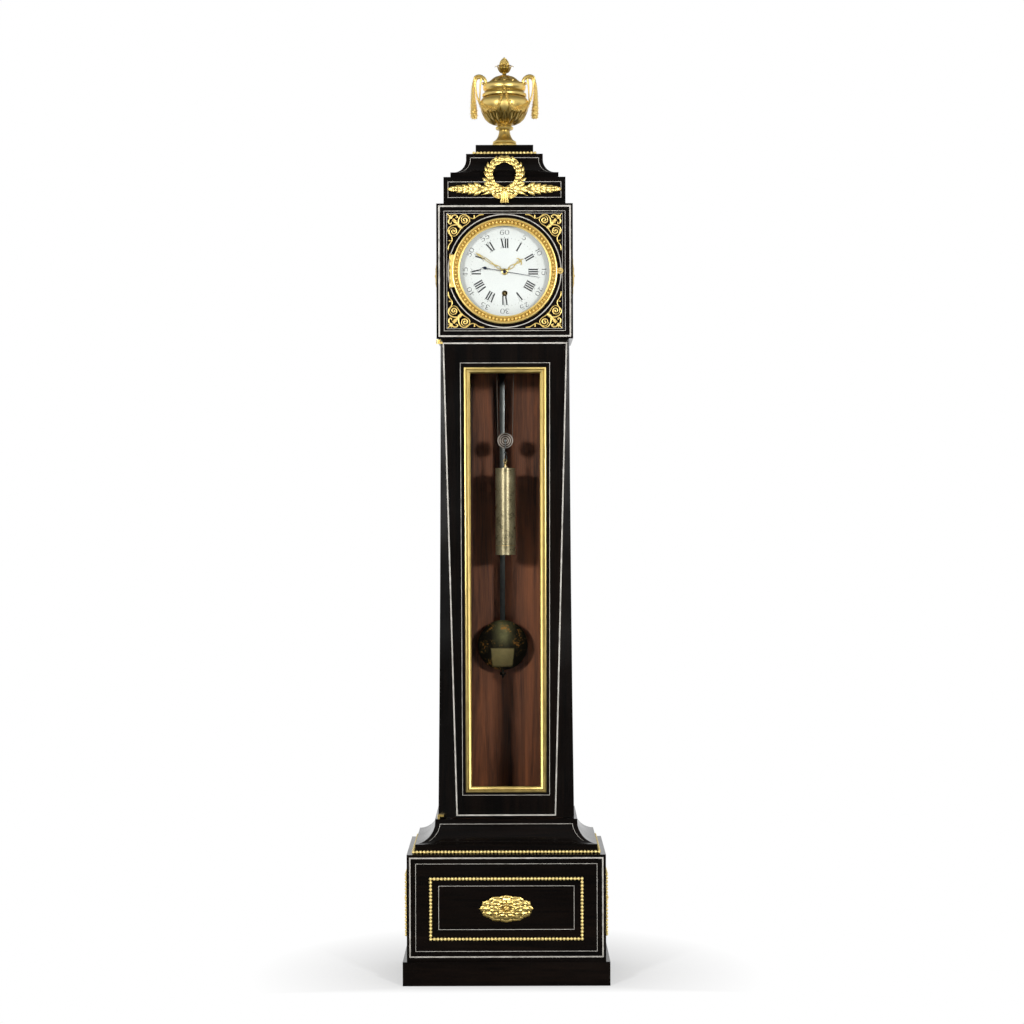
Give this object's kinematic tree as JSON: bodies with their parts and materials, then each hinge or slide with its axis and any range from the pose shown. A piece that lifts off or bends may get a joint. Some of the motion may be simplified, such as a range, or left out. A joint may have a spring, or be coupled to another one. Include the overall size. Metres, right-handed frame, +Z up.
{
  "type": "longcase clock",
  "caption": "Tall weight-driven floor clock with a tapering ebonised case, gilt urn and mounts, round enamel dial and a glazed trunk door showing weight and pendulum.",
  "frame": {"origin": "on the floor, at the middle of the plinth's underside", "axes": "+Z up; +Y from the front towards the wall; +X to the right of someone facing the dial"},
  "size_m": [0.499, 0.313, 2.2545],
  "materials": {
    "ebony": "polished black stained wood",
    "mahogany": "red-brown polished wood",
    "oak": "plain oiled wood",
    "gilt": "fire-gilt bronze",
    "brass": "lacquered brass",
    "dark_brass": "darkened brass",
    "steel": "polished steel",
    "blued_steel": "blued steel",
    "enamel": "white enamel on copper",
    "glass": "clear glass",
    "gut": "twisted gut"
  },
  "bodies": {
    "case": {"plinth": "ebony", "base_block": "ebony", "base_moulding": "ebony", "base_bead_strip": "gilt", "bead_frames": "gilt", "base_rosettes": "gilt", "trunk_sides": "ebony", "backboard": "mahogany", "trunk_top_rail": "ebony", "seat_board": "oak", "door_hinge_pins": "gilt", "dial": "enamel", "movement_plates": "brass", "suspension_cock": "brass", "gut_line": "gut", "gut_on_barrel": "gut"},
    "trunk_door": {"trunk_door": "ebony", "window_frame": "gilt", "door_glass": "glass", "door_hinge_leaves": "gilt"},
    "hood": {"hood_sides": "ebony", "hood_front": "ebony", "hood_top_board": "ebony", "upper_block": "ebony", "cap_moulding": "ebony", "cap_bead_strip": "gilt", "top_block": "ebony", "corner_spandrels": "gilt", "side_mounts": "gilt", "wreath_mount": "gilt", "urn": "gilt", "bezel_hinge": "gilt"},
    "bezel": {"bezel_ring": "gilt", "bezel_glass": "glass"},
    "bezel_latch": {"bezel_latch": "gilt"},
    "pendulum": {"suspension_spring": "steel", "pendulum": "dark_brass"},
    "anchor": {"pallet_anchor": "steel", "crutch": "steel"},
    "weight": {"weight": "brass", "pulley_stirrup": "brass"},
    "pulley": {"pulley": "brass"},
    "barrel": {"winding_barrel": "brass"},
    "great_wheel": {"great_wheel": "brass"},
    "middle_wheel": {"middle_wheel": "brass"},
    "third_wheel": {"third_wheel": "brass"},
    "escape_wheel": {"escape_wheel": "brass", "second_hand": "blued_steel"},
    "motion_wheel": {"motion_wheel": "brass"},
    "minute_work": {"cannon_pipe": "brass", "minute_hand": "gilt"},
    "hour_work": {"hour_wheel": "brass", "hour_hand": "gilt"}
  },
  "joints": [
    {"name": "door_swing", "type": "hinge", "parent": "case", "child": "trunk_door", "pos_m": [-0.1623, -0.0752, 0.9], "axis": [0, 0, -1], "range_deg": [0, 110]},
    {"name": "hood_slide", "type": "slide", "parent": "case", "child": "hood", "axis": [0, -1, 0], "range_m": [0, 0.28]},
    {"name": "bezel_swing", "type": "hinge", "parent": "hood", "child": "bezel", "pos_m": [-0.132, -0.0845, 1.7048], "axis": [0, 0, -1], "range_deg": [0, 110]},
    {"name": "latch_turn", "type": "hinge", "parent": "bezel", "child": "bezel_latch", "pos_m": [0.1333, -0.09, 1.7048], "axis": [0, 1, 0], "range_deg": [0, 90]},
    {"name": "pendulum_swing", "type": "hinge", "parent": "case", "child": "pendulum", "pos_m": [-0.008, 0.109, 1.7933], "axis": [0, 1, 0], "range_deg": [-1.6, 1.6]},
    {"name": "anchor_rock", "type": "hinge", "parent": "case", "child": "anchor", "pos_m": [0, 0.0697, 1.7933], "axis": [0, 1, 0], "range_deg": [-1.6, 1.6]},
    {"name": "weight_drop", "type": "slide", "parent": "case", "child": "weight", "axis": [0, 0, 1], "range_m": [-0.6, 0.2], "deforming": ["gut_line"]},
    {"name": "pulley_turn", "type": "hinge", "parent": "weight", "child": "pulley", "pos_m": [0, 0.03, 1.2998], "axis": [0, 1, 0], "range_deg": [-1954, 652]},
    {"name": "barrel_turn", "type": "hinge", "parent": "case", "child": "barrel", "pos_m": [0, 0.03, 1.6528], "axis": [0, 1, 0], "range_deg": [-2865, 955]},
    {"name": "escape_spin", "type": "hinge", "parent": "case", "child": "escape_wheel", "pos_m": [0, 0.0697, 1.7048], "axis": [0, 1, 0], "continuous": true},
    {"name": "third_spin", "type": "hinge", "parent": "case", "child": "third_wheel", "pos_m": [-0.02129, 0.0022, 1.71337], "axis": [0, 1, 0], "continuous": true},
    {"name": "middle_spin", "type": "hinge", "parent": "case", "child": "middle_wheel", "pos_m": [-0.03075, -0.0063, 1.68808], "axis": [0, 1, 0], "continuous": true},
    {"name": "great_spin", "type": "hinge", "parent": "case", "child": "great_wheel", "pos_m": [0, 0.0107, 1.6528], "axis": [0, 1, 0], "continuous": true},
    {"name": "motion_spin", "type": "hinge", "parent": "case", "child": "motion_wheel", "pos_m": [-0.01075, -0.0245, 1.68793], "axis": [0, 1, 0], "continuous": true},
    {"name": "minute_spin", "type": "hinge", "parent": "case", "child": "minute_work", "pos_m": [0, -0.03, 1.7048], "axis": [0, 1, 0], "continuous": true},
    {"name": "hour_spin", "type": "hinge", "parent": "case", "child": "hour_work", "pos_m": [0, -0.04, 1.7048], "axis": [0, 1, 0], "continuous": true}
  ],
  "couplings": [
    {"joint": "anchor_rock", "follows": "pendulum_swing", "ratio": 1},
    {"joint": "pulley_turn", "follows": "weight_drop", "rad_per_m": 56.818},
    {"joint": "barrel_turn", "follows": "weight_drop", "rad_per_m": 83.333},
    {"joint": "third_spin", "follows": "escape_spin", "ratio": -0.13333},
    {"joint": "middle_spin", "follows": "escape_spin", "ratio": 0.016667},
    {"joint": "great_spin", "follows": "escape_spin", "ratio": -0.0013889},
    {"joint": "motion_spin", "follows": "escape_spin", "ratio": -0.0055556},
    {"joint": "minute_spin", "follows": "escape_spin", "ratio": 0.016667},
    {"joint": "hour_spin", "follows": "escape_spin", "ratio": 0.0013889}
  ]
}
